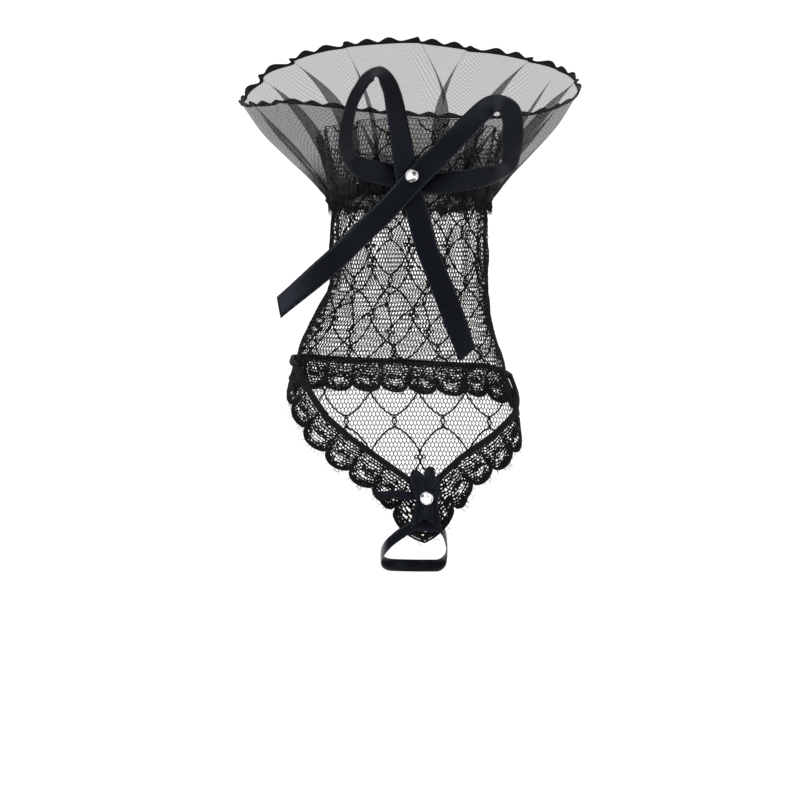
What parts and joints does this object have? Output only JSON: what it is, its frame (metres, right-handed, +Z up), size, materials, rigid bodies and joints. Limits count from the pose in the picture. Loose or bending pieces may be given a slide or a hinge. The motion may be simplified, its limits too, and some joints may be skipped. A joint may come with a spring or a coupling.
{
  "type": "lace cuff",
  "caption": "Fingerless net cuff for one hand, gathered at the wrist, with a flared ruffle, ribbon bows, a pointed scalloped hem and a finger loop.",
  "frame": {"origin": "centre of the wrist on the gather line, inside the open sleeve", "axes": "+Z up the forearm towards the ruffle, the back of the hand faces -Y, +X to the right as seen from the front"},
  "size_m": [0.1095, 0.0788, 0.158],
  "materials": {
    "net": "black open net with a corded oval motif",
    "elastic": "black gathered elastic, soft ribs",
    "tulle": "sheer black tulle, light shows through",
    "edging": "black scalloped picot edging, matt thread",
    "border_lace": "black corded border lace, matt thread",
    "braid": "black narrow braid, knobbly edges",
    "satin": "black satin with a cool blue sheen",
    "crystal": "clear cut stone with a foiled back, bright facets"
  },
  "bodies": {
    "root": {"lace_sleeve": "net", "wrist_elastic": "elastic", "tulle_ruffle": "tulle", "ruffle_edging": "edging", "hem_trim": "border_lace", "hem_band": "braid", "bow_ribbon": "satin", "bow_stone": "crystal", "tip_bow": "satin", "tip_stone": "crystal", "finger_loop": "satin"}
  },
  "joints": []
}
